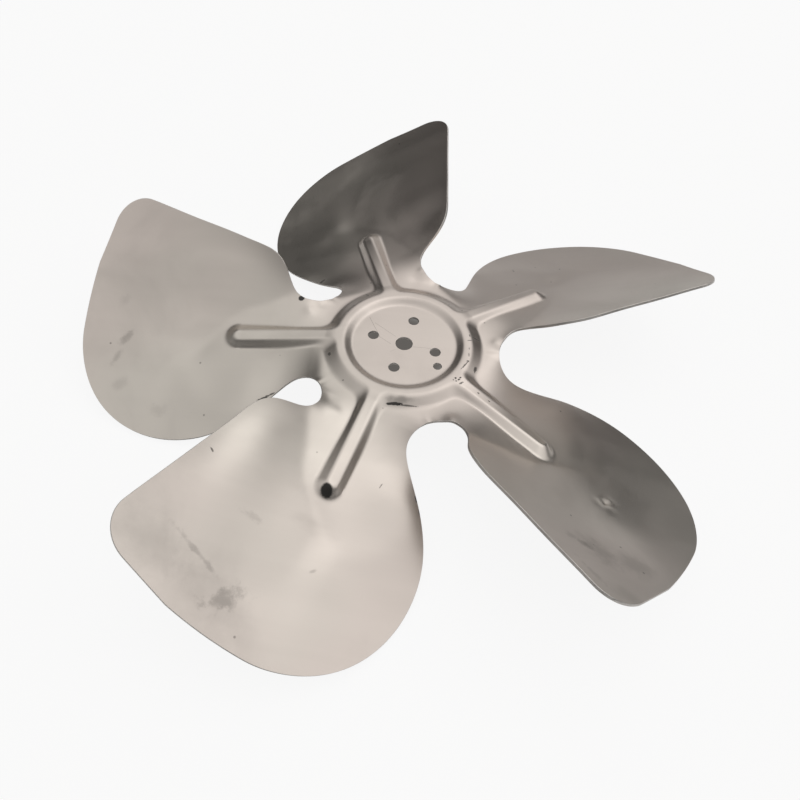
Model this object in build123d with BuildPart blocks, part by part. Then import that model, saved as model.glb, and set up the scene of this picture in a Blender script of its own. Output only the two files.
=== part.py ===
"""Axial fan impeller pressed from one aluminium sheet.

Five cambered, twisted blades grow out of a flat web.  An embossed ring round the hub disc
runs into one embossed rib along the middle of each blade; underneath, ring and ribs are
channels, because the sheet has the same thickness everywhere.

Frame: origin on the rotor axis at the top face of the hub disc, +Z up the rotor axis,
-X along the rib of one blade.  Millimetres.
"""

import os
from math import atan, cos, hypot, radians, sin, sqrt, tan

from build123d import *

# ---------------------------------------------------------------- driving dimensions
sheet = 1.0                # thickness of the aluminium sheet
tip_radius = 127.0         # swept radius of the blades: a 254 mm (10 inch) impeller
blade_count = 5
first_blade_angle = 180.0  # one rib lies along -X

# hub disc and its holes
disc_radius = 20.4         # flat disc inside the embossed ring
bore_diameter = 6.6        # centre hole
screw_hole_diameter = 4.2  # clearance for the screws that hold the motor hub
screw_circle_diameter = 25.2
screw_hole_count = 4
screw_hole_angle = 76.0    # first screw hole, from +X
index_hole_diameter = 3.3  # single small hole further out
index_hole_radius = 16.65  # its distance from the axis
index_hole_angle = -36.5

# embossed ring round the disc
ring_inner_run = 2.8       # horizontal run of the wall from the disc up to the crest
ring_crest_height = 1.8    # crest above the disc
ring_crest_width = 3.2
ring_outer_run = 4.2       # horizontal run of the wall from the crest down to the web
web_drop = 0.8             # the web's top face lies this far below the disc
ring_edge_fillet = 1.1     # rounding of the ring's edges, on the top skin

# web: a flat plate whose straight sides are the roots of the blades
web_flange = 0.4           # web left between the ring's foot and the blade's root
root_half_width = 20.9     # half width of a blade's root, from one notch to the other
notch_fillet = 10.7        # radius of a notch's floor

# embossed ribs
rib_height = 2.6           # crest above the web, square to the sheet
rib_crest_half_width = 2.1
rib_base_half_width = 5.2
rib_length = 33.6          # from the web's edge to the centre of the rounded end
rib_start_inset = 5.0      # the rib starts this far inside the web's edge, in the ring
rib_offset = -0.7          # its centre line, to the left of the blade's own
rib_end_lean = 23.0        # degrees that the rib leans at its rounded end
rib_crest_fillet = 1.1

# Blade sections, across the rib and evenly spaced outwards from the web's edge.  Each one:
# half chord, height of the raised end, height of the middle, pitch of the middle in
# degrees, height of the low end.  Heights are above the web.
section_step = 14.0
blade_sections = [
    (24, 0.0, 0.0, 0.0, 0.0),
    (27, 11.1, -2.1, 13.9, -12.2),
    (35, 17.1, -4.2, 18.7, -18.2),
    (41, 20.8, -5.8, 24.4, -21.5),
    (45, 22.2, -6.7, 27.2, -24.1),
    (48, 23.5, -7.2, 27.5, -26.5),
    (52, 25.0, -7.4, 27.3, -28.6),
    (54, 26.0, -7.1, 27.1, -29.5),
]

# blade outline in plan
outer_start_angle = -11.0  # the outer edge is on the swept circle from here, in degrees
outer_end_angle = 0.0      # to here, where the rounded lobe begins
tip_corner_reach = 0.889   # corner before rounding, as a share of the blade's reach
tip_corner_across = -49.3
tip_corner_fillet = 11.5

# ---------------------------------------------------------------- derived sizes
web_top = -web_drop
web_middle = web_top - sheet / 2
web_underside = web_top - sheet
blade_step = 360.0 / blade_count
half_step = radians(blade_step / 2)
web_apothem = disc_radius + ring_inner_run + ring_crest_width + ring_outer_run + web_flange
web_corner_radius = web_apothem / cos(half_step)
# a notch's floor is a circle on the line between two blades, through the ends of their roots
root_along = web_apothem * cos(half_step) + root_half_width * sin(half_step)
root_aside = web_apothem * sin(half_step) - root_half_width * cos(half_step)
notch_centre_radius = root_along + sqrt(notch_fillet**2 - root_aside**2)
notch_centre = (notch_centre_radius * cos(half_step), notch_centre_radius * sin(half_step))
root_inset = notch_centre[0] - web_apothem
blade_reach = tip_radius - web_apothem
trim_height = tip_radius / 2  # trimming solids reach this far above and below the web


# ---------------------------------------------------------------- hub
def hub_skin(depth):
    """Corners of the hub's skin from the axis to the web, at a depth below the top face."""
    crest_start = disc_radius + ring_inner_run
    crest_end = crest_start + ring_crest_width
    # a parallel skin turns each corner half the wall's slope further along
    inner_shift = depth * tan(atan(ring_crest_height / ring_inner_run) / 2)
    outer_shift = depth * tan(atan((ring_crest_height + web_drop) / ring_outer_run) / 2)
    return [
        (0, -depth),
        (disc_radius + inner_shift, -depth),
        (crest_start + inner_shift, ring_crest_height - depth),
        (crest_end - outer_shift, ring_crest_height - depth),
        (crest_end + ring_outer_run - outer_shift, web_top - depth),
        (web_apothem, web_top - depth),
    ]


def hub_blank(depth, floor, rounding):
    """Solid of revolution from the skin at a depth down to a flat floor."""
    skin = hub_skin(depth)
    rim = skin[-1][0]
    with BuildPart() as blank:
        with BuildSketch(Plane.XZ) as profile:
            with BuildLine():
                Polyline(*skin, (rim, floor), (0, floor), close=True)
            make_face()
            ring_corners = [v for v in profile.vertices() if 0 < v.X < rim and v.Y > floor]
            fillet(ring_corners, radius=rounding)
        revolve(axis=Axis.Z)
    return blank.part


def web_outline():
    """Regular polygon whose sides are the roots of the blades, with a notch at each corner."""
    corner_angle = first_blade_angle + blade_step / 2
    with BuildSketch() as outline:
        with Locations(Rotation(0, 0, corner_angle)):
            RegularPolygon(radius=web_corner_radius, side_count=blade_count)
        with PolarLocations(notch_centre_radius, blade_count, start_angle=corner_angle):
            Circle(radius=notch_fillet, mode=Mode.SUBTRACT)
    return outline.sketch


# ---------------------------------------------------------------- blades
def section_curve(section, depth):
    """Control points of a cubic section curve, at a depth below the top face."""
    half, raised, middle, pitch, low = section
    lean = -tan(radians(pitch)) * half
    bow = (raised + low) / 2 - middle
    twist = (low - raised) / 2 - lean
    base = web_top - depth * hypot(1, lean / half)
    start_slope = lean - 2 * bow + 3 * twist
    end_slope = lean + 2 * bow + 3 * twist
    return [
        (-half, base + raised),
        (-half / 3, base + raised + start_slope * 2 / 3),
        (half / 3, base + low - end_slope * 2 / 3),
        (half, base + low),
    ]


def blade_slab(top_depth, bottom_depth):
    """Twisted slab between two parallel skins, wider than the blade, from the web outwards."""
    with BuildPart() as slab:
        for index, section in enumerate(blade_sections):
            station = web_apothem + index * section_step
            upper = section_curve(section, top_depth)
            lower = section_curve(section, bottom_depth)
            with BuildSketch(Plane((station, 0, 0), x_dir=(0, 1, 0), z_dir=(1, 0, 0))):
                with BuildLine():
                    Bezier(*upper)
                    Line(upper[-1], lower[-1])
                    Bezier(*reversed(lower))
                    Line(lower[0], upper[0])
                make_face()
        loft()
    return slab.part


def reach_point(share, across):
    """Point of a blade's plan: a share of its reach outwards, and millimetres across."""
    return (web_apothem + share * blade_reach, across)


def circle_point(angle):
    """Point of the swept circle at an angle in degrees."""
    return (tip_radius * cos(radians(angle)), tip_radius * sin(radians(angle)))


def blade_outline():
    """Plan of one blade: +X outwards along the rib, +Y against the clock."""
    left_root = (web_apothem, -root_half_width)
    right_root = (web_apothem, root_half_width)
    shoulder = reach_point(0.339, -34.4)
    # the notch's floor leaves the root along its own circle
    floor_rise = notch_centre[1] - root_half_width
    corner = reach_point(tip_corner_reach, tip_corner_across)
    outer_start = circle_point(outer_start_angle)
    outer_end = circle_point(outer_end_angle)
    with BuildSketch() as outline:
        with BuildLine():
            # notch and shoulder, up to the straight edge
            Spline(
                left_root,
                reach_point(0.038, -18.3),
                reach_point(0.094, -17.2),
                reach_point(0.141, -19.1),
                reach_point(0.190, -26.0),
                reach_point(0.223, -29.5),
                reach_point(0.274, -32.3),
                shoulder,
                tangents=(
                    (floor_rise, root_inset),
                    (corner[0] - shoulder[0], corner[1] - shoulder[1]),
                ),
            )
            Polyline(shoulder, corner, outer_start)
            ThreePointArc(
                outer_start,
                circle_point((outer_start_angle + outer_end_angle) / 2),
                outer_end,
            )
            # rounded lobe, hollow flank and the notch on the other side
            Spline(
                outer_end,
                reach_point(0.977, 12.0),
                reach_point(0.899, 24.8),
                reach_point(0.750, 35.0),
                reach_point(0.585, 38.7),
                reach_point(0.430, 37.1),
                reach_point(0.323, 32.6),
                reach_point(0.170, 21.8),
                reach_point(0.081, 17.2),
                reach_point(0.038, 18.1),
                right_root,
                tangents=((0, 1), (-floor_rise, root_inset)),
            )
            Line(right_root, left_root)
        make_face()
        fillet(outline.vertices().sort_by_distance((*corner, 0))[0], radius=tip_corner_fillet)
    return outline.sketch


# ---------------------------------------------------------------- ribs
rib_skirt = 4.5            # the rib's walls run on this far below the web, to be trimmed


def middle_height(distance):
    """Height of the blade's middle above the web, at a distance from the web's edge."""
    index = min(int(distance / section_step), len(blade_sections) - 2)
    near, far = blade_sections[index], blade_sections[index + 1]
    return near[2] + (far[2] - near[2]) * (distance / section_step - index)


def rib_plane(distance, lean):
    """Plane across the rib at a distance from the web's edge: local Y is square to the sheet."""
    height = middle_height(max(distance, 0))
    tilt = radians(lean)
    return Plane(
        (web_apothem + distance, rib_offset, web_top + height),
        x_dir=(0, cos(tilt), -sin(tilt)),
        z_dir=(1, 0, 0),
    )


def rib_section(wall):
    """Right-hand corners of the rib's section, moved in by the thickness of its wall."""
    spread = (rib_base_half_width - rib_crest_half_width) / rib_height
    crest = rib_height - wall
    crest_half = rib_crest_half_width + spread * wall - wall * hypot(1, spread)
    foot_half = crest_half + spread * (crest + rib_skirt)
    return (crest_half, crest), (foot_half, -rib_skirt)


def rib_body(wall, rounding):
    """Solid rib: a twisting bar from inside the ring to a rounded end."""
    crest, foot = rib_section(wall)
    end_plane = rib_plane(rib_length, rib_end_lean)
    with BuildPart() as body:
        for plane in (rib_plane(-rib_start_inset, 0), end_plane):
            with BuildSketch(plane) as section:
                with BuildLine():
                    Polyline((-foot[0], foot[1]), (-crest[0], crest[1]), crest, foot, close=True)
                make_face()
                top_corners = section.vertices().group_by(Axis((0, 0, 0), plane.y_dir))[-1]
                fillet(top_corners, radius=rounding)
        loft(ruled=True)
        with BuildSketch(end_plane) as half_section:
            with BuildLine():
                Polyline((0, crest[1]), crest, foot, (0, foot[1]), close=True)
            make_face()
            fillet(half_section.vertices().sort_by_distance(end_plane.from_local_coords(crest))[0],
                   radius=rounding)
        revolve(axis=Axis(end_plane.origin, -end_plane.y_dir), revolution_arc=180)
    return body.part


def rib_wall():
    """The rib's solid above the middle of the sheet that it rises from."""
    with BuildPart() as wall:
        add(rib_body(0, rib_crest_fillet))
        add(blade_slab(sheet / 2, sheet / 2 + trim_height), mode=Mode.SUBTRACT)
        with BuildSketch(Plane.XY.offset(web_middle)):
            Rectangle(2 * web_apothem, 2 * web_apothem)
        extrude(amount=-trim_height, mode=Mode.SUBTRACT)
    return wall.part


# ---------------------------------------------------------------- impeller
# what the embossing leaves hollow underneath
ring_hollow = hub_blank(sheet, web_underside - sheet, ring_edge_fillet / 2)
rib_hollow = rib_body(sheet, rib_crest_fillet / 3)

with BuildPart() as hub:
    with BuildSketch(Plane.XY.offset(web_underside)):
        add(web_outline())
    extrude(amount=sheet)
    add(hub_blank(0, web_underside, ring_edge_fillet))
    add(ring_hollow, mode=Mode.SUBTRACT)
    with PolarLocations(0, blade_count, start_angle=first_blade_angle):
        add(rib_hollow, mode=Mode.SUBTRACT)
    Hole(radius=bore_diameter / 2)
    with PolarLocations(screw_circle_diameter / 2, screw_hole_count, start_angle=screw_hole_angle):
        Hole(radius=screw_hole_diameter / 2)
    with PolarLocations(index_hole_radius, 1, start_angle=index_hole_angle):
        Hole(radius=index_hole_diameter / 2)

with BuildPart() as blade:
    add(blade_slab(0, sheet))
    with BuildSketch(Plane.XY.offset(-trim_height)):
        add(blade_outline())
    extrude(amount=2 * trim_height, mode=Mode.INTERSECT)
    add(rib_wall())
    add(ring_hollow, mode=Mode.SUBTRACT)
    add(rib_hollow, mode=Mode.SUBTRACT)

with BuildPart() as impeller:
    add(hub)
    with PolarLocations(0, blade_count, start_angle=first_blade_angle):
        add(blade)

impeller.part.label = "impeller"
os.makedirs("parts", exist_ok=True)
export_step(impeller.part, "parts/impeller.step")
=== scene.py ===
"""Axial fan impeller pressed from one aluminium sheet, on a plain studio floor."""

import math

import bmesh
import bpy
import numpy as np
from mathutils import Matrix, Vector, geometry


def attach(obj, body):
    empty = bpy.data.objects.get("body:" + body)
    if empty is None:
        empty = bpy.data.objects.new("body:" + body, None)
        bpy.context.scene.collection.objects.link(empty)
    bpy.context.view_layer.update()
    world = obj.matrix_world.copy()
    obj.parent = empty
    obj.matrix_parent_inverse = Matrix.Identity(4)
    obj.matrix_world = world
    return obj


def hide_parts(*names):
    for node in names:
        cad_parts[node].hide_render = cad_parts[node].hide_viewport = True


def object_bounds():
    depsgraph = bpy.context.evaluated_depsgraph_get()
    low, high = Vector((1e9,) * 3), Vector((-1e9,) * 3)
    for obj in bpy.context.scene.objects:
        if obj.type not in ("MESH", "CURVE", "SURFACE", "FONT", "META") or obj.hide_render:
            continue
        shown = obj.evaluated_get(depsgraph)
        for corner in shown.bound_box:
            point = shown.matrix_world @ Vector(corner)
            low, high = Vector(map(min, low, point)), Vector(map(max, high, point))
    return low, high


bl_info = {
    "name": "Pressed Fan Impeller",
    "version": (1, 0, 0),
    "blender": (4, 5, 0),
    "location": "View3D > Sidebar > Impeller",
    "description": "Builds a pressed sheet axial fan impeller and a small studio round it",
    "category": "Object",
}

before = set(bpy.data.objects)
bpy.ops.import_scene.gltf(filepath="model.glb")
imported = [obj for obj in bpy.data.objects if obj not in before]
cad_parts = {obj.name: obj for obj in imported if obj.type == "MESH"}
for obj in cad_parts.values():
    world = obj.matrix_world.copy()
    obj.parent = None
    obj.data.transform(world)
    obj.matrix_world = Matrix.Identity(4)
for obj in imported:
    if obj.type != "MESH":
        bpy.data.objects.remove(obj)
cad_low, cad_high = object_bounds()

MM = 0.001
BLADE_COUNT = 5
FIRST_BLADE = math.pi
BLADE_STEP = 2 * math.pi / BLADE_COUNT
HALF_STEP = BLADE_STEP / 2

# Blade sections across the rib, 14 mm apart from the web's edge outwards, in millimetres:
# half chord, raised end, middle, pitch of the middle in degrees, low end.
SECTION_STEP = 14.0
BLADE_SECTIONS = [
    (24, 0.0, 0.0, 0.0, 0.0),
    (27, 11.1, -2.1, 13.9, -12.2),
    (35, 17.1, -4.2, 18.7, -18.2),
    (41, 20.8, -5.8, 24.4, -21.5),
    (45, 22.2, -6.7, 27.2, -24.1),
    (48, 23.5, -7.2, 27.5, -26.5),
    (52, 25.0, -7.4, 27.3, -28.6),
    (54, 26.0, -7.1, 27.1, -29.5),
]
# The crease that leaves the notch and passes round the rib's end: distance out, across.
CREASE_LINE = [(40, -19.5), (44, -18.5), (50, -16.2), (57, -13.2), (64, -11), (70, -7),
               (76, -1), (84, 6), (92, 13), (100, 22)]
# Plan of the hub and of a blade's root: widths of the ring's inner wall, crest and outer wall,
# the flat strip outside them, half width of the root, and radius of a notch.
RING_INNER_WALL, RING_CREST, RING_OUTER_WALL, WEB_STRIP = 2.8, 3.2, 4.2, 0.4
ROOT_HALF_WIDTH, NOTCH_RADIUS = 20.9, 10.7
# Edges of a blade in plan: share of the way from the web's edge to the tip, distance across.
LEFT_EDGE = [(0.038, -18.3), (0.094, -17.2), (0.141, -19.1), (0.190, -26.0), (0.223, -29.5),
             (0.274, -32.3), (0.339, -34.4)]
TIP_CORNER, TIP_CORNER_RADIUS = (0.889, -49.3), 11.5
LOBE_EDGE = [(0.977, 12.0), (0.899, 24.8), (0.750, 35.0), (0.585, 38.7), (0.430, 37.1),
             (0.323, 32.6), (0.170, 21.8), (0.081, 17.2), (0.038, 18.1)]
RIM_START = -11.0  # degrees from the rib's line at which the tip's corner meets the rim
OUTER_EDGE_END = (110, 21.0)  # the outer edge's last point: least distance out, distance across
# A rib: how far inside the web's edge it starts, lean of its crest at its end in degrees, its
# middle across, and half widths of its foot and its crest.
RIB_INSET, RIB_LEAN, RIB_MIDDLE, RIB_FOOT, RIB_CREST = 5.0, 23.0, -0.7, 5.2, 2.1
# Rounding of the corners: between outer walls, more near the hub, at crests, at the foot of a
# wall and at the disc.
WALL_SOFT, HUB_SOFT, CREST_SOFT, FOOT_SOFT, DISC_SOFT = 0.4, 2.4, 0.55, 0.5, 0.45
# The crease: softness of its floor, how much softer it grows and where, reach of its outer and
# inner flank, and where it fades in and out.
CREASE_SOFT, CREASE_SOFTER, CREASE_SOFTENS = 0.9, 5.0, (72, 92)
CREASE_OUTER_REACH, CREASE_INNER_REACH = 5.3, 6.8
CREASE_STARTS, CREASE_ENDS = (38, 50), (78, 98)
# The rounded shoulder at the end of the flat tongue, on its low side: part of a ring.
SHOULDER_CENTRE, SHOULDER_RADIUS, SHOULDER_RISE = (60, 2), 27, 0.79
SHOULDER_SOFT, SHOULDER_REACH = 4.0, 10.0
# The hollow along the blade's middle: its line as distances out and across, and its depth.
HOLLOW_LINE = [(72, 2.0), (84, 3.0), (96, 0.0), (106, -4.0), (120, -7.0)]
HOLLOW_RISE, HOLLOW_SOFT, HOLLOW_REACH = -0.25, 3.0, 10.0
# Broad swells and hollows of the drawn blade: out, across, rise, all of one radius.
SWELL_RADIUS = 10.0
SWELLS = [
    (48, -26, -0.16), (48, -16, -0.25), (48, 14, -0.11), (58, -34, -0.09), (58, -24, 0.40),
    (58, -14, 0.15), (58, 13, 0.18), (58, 24, 0.11), (70, -38, -0.21), (70, -28, 0.36),
    (70, -18, 0.31), (70, -8, 0.04), (70, 2, 0.12), (70, 12, 0.27), (70, 24, 0.05),
    (70, 35, 0.05), (83, -40, -0.15), (83, -28, 0.18), (83, -4, 0.08), (83, 8, 0.34),
    (83, 20, 0.28), (83, 32, 0.22), (97, -40, -0.16), (97, -26, 0.12), (97, -13, -0.21),
    (97, 13, 0.15), (97, 27, 0.21), (111, -42, 0.09), (111, -28, 0.23), (111, -14, -0.25),
    (111, 0, -0.10), (111, 14, 0.10),
]
# The blades are taken as not quite alike: the second and the third, which are number 1 and 2
# here, have a radius and swells of their own.
OWN_SWELLS = {
    1: (7.5, [
        (46, -27, 0.3), (46, -20, 0.48), (46, -13, 0.07), (53, -34, -0.12), (53, -27, 0.31),
        (53, -20, 0.27), (60, -34, -0.26), (60, -27, 0.85), (60, -20, 0.27), (60, -13, 0.08),
        (67, -34, -0.45), (67, -27, 0.83), (67, -20, 0.1), (67, -13, 0.1), (74, -34, -0.48),
        (74, -27, 0.52), (74, -20, 0.16), (74, -13, -0.17), (81, -34, -0.35), (81, -27, 0.23),
        (81, -20, -0.05), (81, -13, -0.16)]),
    2: (6.0, [
        (72, -9.2, 0.04), (72, -3.2, -0.37), (72, 8.8, 0.1), (72, 14.8, 0.27), (78, 0.7, 0.3),
        (78, 6.7, 0.08), (78, 12.7, -0.1), (84, -13.4, 0.07), (84, -1.4, -0.12), (84, 4.6, 0.14),
        (90, -15.5, -0.04), (90, -9.5, -0.2), (90, -3.5, -0.26), (90, 8.5, -0.12),
        (96, -17.6, -0.12), (96, -11.6, -0.28), (96, -5.6, -0.15), (96, 6.4, -0.07),
        (102, -19.7, -0.17), (102, -13.7, -0.28), (102, -7.7, -0.26), (102, -1.7, -0.09),
        (108, -21.8, 0.08), (108, -9.8, -0.17), (108, -3.8, -0.04), (108, 2.2, 0.05)]),
}
# Press dimples beside each notch, from the first blade round: out, across, rise, radius.
NOTCH_DIMPLES = [
    ((39.0, -12.6, 0.45, 1.9), (34.6, -17.0, -0.35, 2.2)),
    ((40.5, -10.6, 0.40, 2.6), (36.0, -15.0, -0.30, 2.4)),
    ((36.0, -16.0, 0.40, 2.2), (33.5, -19.5, -0.25, 2.0)),
    ((31.5, -17.4, 0.45, 1.9), (34.0, -20.0, -0.35, 1.9)),
    ((36.2, -17.0, 0.50, 1.8), (33.4, -13.5, -0.25, 2.4)),
]
# A knock near the tip of the third blade: out, across, rise, radius.
KNOCKS = {2: [(94.4, -4.4, -1.05, 1.7), (96.6, -5.6, 0.65, 1.4), (95.6, -1.9, 0.5, 1.3),
              (92.6, -6.4, 0.35, 1.2)]}


# ---------------------- sizes and colours
def length(label, text, value):
    """A length property, given in millimetres."""
    return bpy.props.FloatProperty(name=label, description=text, default=value * MM,
                                   min=0.0, unit="LENGTH", precision=5)


def colour(label, text, value):
    """A linear colour property."""
    return bpy.props.FloatVectorProperty(name=label, description=text, default=value,
                                         size=3, min=0.0, max=1.0, subtype="COLOR")


class ImpellerSizes(bpy.types.PropertyGroup):
    """Sizes of the pressed sheet."""

    sheet: length("Sheet", "Thickness of the aluminium sheet", 1.0)
    tip_radius: length("Tip radius", "Swept radius of the blades", 127.0)
    disc_radius: length("Disc radius", "Flat disc inside the embossed ring", 20.4)
    bore: length("Bore", "Diameter of the centre hole", 6.6)
    screw_hole: length("Screw hole", "Diameter of the four screw holes", 4.2)
    screw_circle: length("Screw circle", "Diameter of the circle of screw holes", 25.2)
    index_hole: length("Index hole", "Diameter of the single small hole", 3.3)
    index_radius: length("Index hole radius", "Distance of the small hole from the axis", 16.65)
    ring_height: length("Ring height", "Crest of the ring above the disc", 1.8)
    web_drop: length("Web drop", "Depth of the web below the disc", 0.8)
    rib_height: length("Rib height", "Crest of a rib above the sheet", 2.6)
    rib_length: length("Rib length", "From the web's edge to the rib's rounded end", 33.6)
    crease_depth: length("Crease depth", "Depth of the crease across each blade", 0.85)
    edge_break: length("Edge break", "Rounding of the sheared edges", 0.14)


class ImpellerFinish(bpy.types.PropertyGroup):
    """Colours and finish of the sheet."""

    metal: colour("Metal", "Bare mill-finish aluminium", (0.64, 0.592, 0.55))
    cut_edge: colour("Cut edge", "Freshly sheared edge of the sheet", (0.74, 0.71, 0.68))
    # also painted shade: the same near-black draws a shadow line at the foot of the ring's outer
    # wall between the second and third blades
    grime_and_shade: colour("Grime", "Black press grease left in specks and smears", (0.02, 0.018, 0.016))
    roughness: bpy.props.FloatProperty(
        name="Roughness", description="Roughness of the clean sheet", default=0.34,
        min=0.0, max=1.0, subtype="FACTOR")


class StudioSettings(bpy.types.PropertyGroup):
    """Floor, room and camera."""

    floor: colour("Floor", "Colour of the matt floor", (0.80, 0.80, 0.80))
    backdrop: colour("Backdrop", "Colour of the backdrop", (0.94, 0.94, 0.94))
    room: colour("Room", "Colour of the room's light", (1.0, 0.985, 0.965))
    lamp_power: bpy.props.FloatProperty(
        name="Lamp power", description="Power of the soft box in watts", default=1.5,
        min=0.0, subtype="POWER")
    camera_place: bpy.props.FloatVectorProperty(
        name="Camera place", description="Where the camera stands", size=3,
        default=(-0.2934e-3, -0.17625, 0.20295), subtype="TRANSLATION")
    camera_turn: bpy.props.FloatVectorProperty(
        name="Camera turn", description="How the camera is turned", size=3,
        default=(math.radians(36.155), math.radians(-3.188), math.radians(3.888)),
        subtype="EULER")
    camera_shift: bpy.props.FloatVectorProperty(
        name="Camera shift", description="Shift of the picture to the right and up", size=2,
        default=(-0.0021, 0.0002), subtype="XYZ")
    camera_lens: bpy.props.FloatProperty(
        name="Camera lens", description="Focal length of the camera", default=31.04,
        min=1.0, unit="CAMERA")


# ---------------------- smooth mathematics
def smooth_min(a, b, soft):
    """The lower of two heights, with the corner between them rounded."""
    share = np.clip(0.5 + 0.5 * (b - a) / soft, 0, 1)
    return b * (1 - share) + a * share - soft * share * (1 - share)


def smooth_max(a, b, soft):
    """The higher of two heights, with the corner between them rounded."""
    return -smooth_min(-a, -b, soft)


def smooth_step(value, low, high):
    """0 below low, 1 above high, and a smooth rise between them."""
    share = np.clip((value - low) / (high - low), 0, 1)
    return share * share * (3 - 2 * share)


def curve_moments(knots, values, start=None, end=None):
    """Second derivatives of a cubic through values, with free or given end slopes."""
    count = len(knots)
    matrix = np.zeros((count, count))
    right = np.zeros((count, values.shape[1]))
    gap = np.diff(knots)
    slope = np.diff(values, axis=0) / gap[:, None]
    for i in range(1, count - 1):
        matrix[i, i - 1:i + 2] = gap[i - 1], 2 * (gap[i - 1] + gap[i]), gap[i]
        right[i] = 6 * (slope[i] - slope[i - 1])
    matrix[0, 0] = matrix[-1, -1] = 1.0
    if start is not None:
        matrix[0, :2] = 2 * gap[0], gap[0]
        right[0] = 6 * (slope[0] - np.array(start))
    if end is not None:
        matrix[-1, -2:] = gap[-1], 2 * gap[-1]
        right[-1] = 6 * (np.array(end) - slope[-1])
    return np.linalg.solve(matrix, right)


def curve_at(knots, values, moments, place):
    """Values of the cubic at the places given."""
    i = np.clip(np.searchsorted(knots, place, side="right") - 1, 0, len(knots) - 2)
    gap = (knots[i + 1] - knots[i])[..., None]
    b = (place - knots[i])[..., None] / gap
    a = 1 - b
    bend = ((a**3 - a) * moments[i] + (b**3 - b) * moments[i + 1]) * gap**2 / 6
    return a * values[i] + b * values[i + 1] + bend


def smooth_line(points, start=None, end=None, count=160):
    """Many points along a smooth line through a few, with its end directions given."""
    points = np.array(points, float)
    knots = np.concatenate([[0], np.cumsum(np.hypot(*np.diff(points, axis=0).T))])
    ends = [None if d is None else np.array(d, float) / np.hypot(*d) for d in (start, end)]
    moments = curve_moments(knots, points, *ends)
    return curve_at(knots, points, moments, np.linspace(0, knots[-1], count))


def polar(radius, degrees):
    """A point in plan, from its distance and its angle."""
    turn = math.radians(degrees)
    return radius * math.cos(turn), radius * math.sin(turn)


def turned_plan(x, y, angle):
    """Places in plan, turned round the axis."""
    c, s = np.cos(angle), np.sin(angle)
    return x * c - y * s, x * s + y * c


def rounded_peak(away, soft, reach):
    """1 on a line and less beside it, with a rounded top and long flanks."""
    return np.exp(-(np.hypot(away, soft) - soft) / reach)


def swell(x, y, out, across, rise, radius):
    """A round swell, or a hollow where its rise is negative."""
    return rise * np.exp(-((x - out)**2 + (y - across)**2) / radius**2)


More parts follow.
